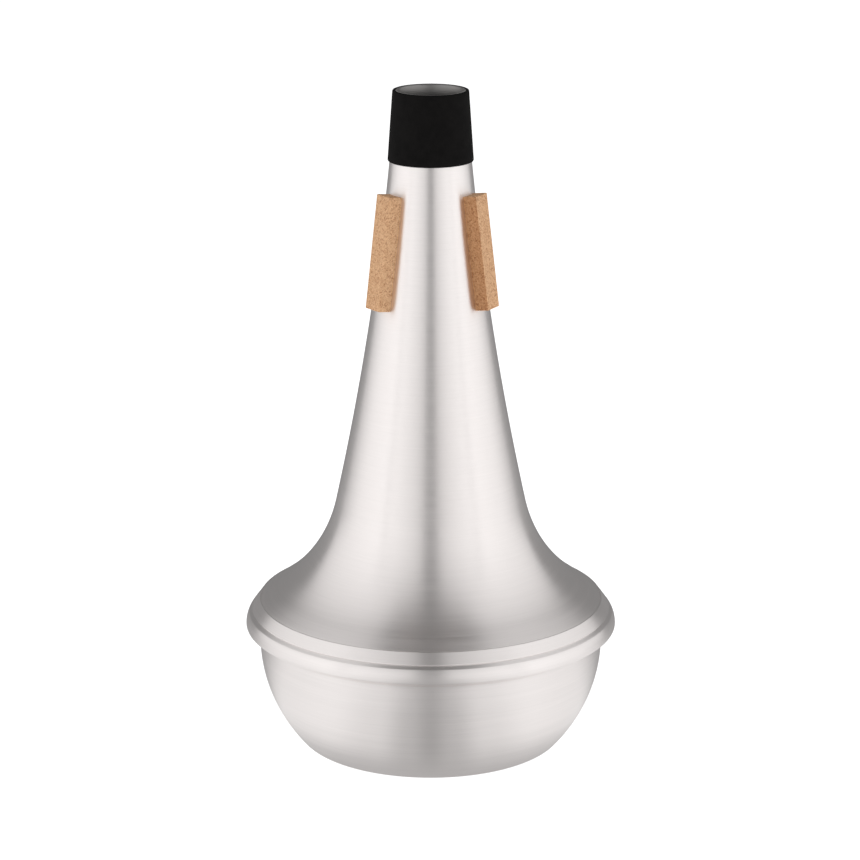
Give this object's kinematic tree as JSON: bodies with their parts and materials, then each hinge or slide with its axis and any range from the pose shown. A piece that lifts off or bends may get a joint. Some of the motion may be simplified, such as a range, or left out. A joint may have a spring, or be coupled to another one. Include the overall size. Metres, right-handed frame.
{
  "type": "trombone straight mute",
  "caption": "Straight mute for a trombone: spun aluminium cone seamed into a rounded bowl, with a black rubber neck sleeve and cork strips along the cone.",
  "frame": {"origin": "centre of the flat base, at its outer face", "axes": "+Z along the mute's axis from the base to the open neck, -Y to the front"},
  "size_m": [0.14, 0.14, 0.2484],
  "materials": {
    "cone_aluminium": "spun and buffed",
    "bowl_aluminium": "spun and buffed",
    "sleeve_rubber": "matte black",
    "bell_cork": "sanded agglomerated cork"
  },
  "bodies": {
    "root": {"cone_shell": "cone_aluminium", "bowl_shell": "bowl_aluminium", "neck_sleeve": "sleeve_rubber", "bell_cork_left": "bell_cork", "bell_cork_right": "bell_cork", "bell_cork_rear": "bell_cork"}
  },
  "joints": []
}
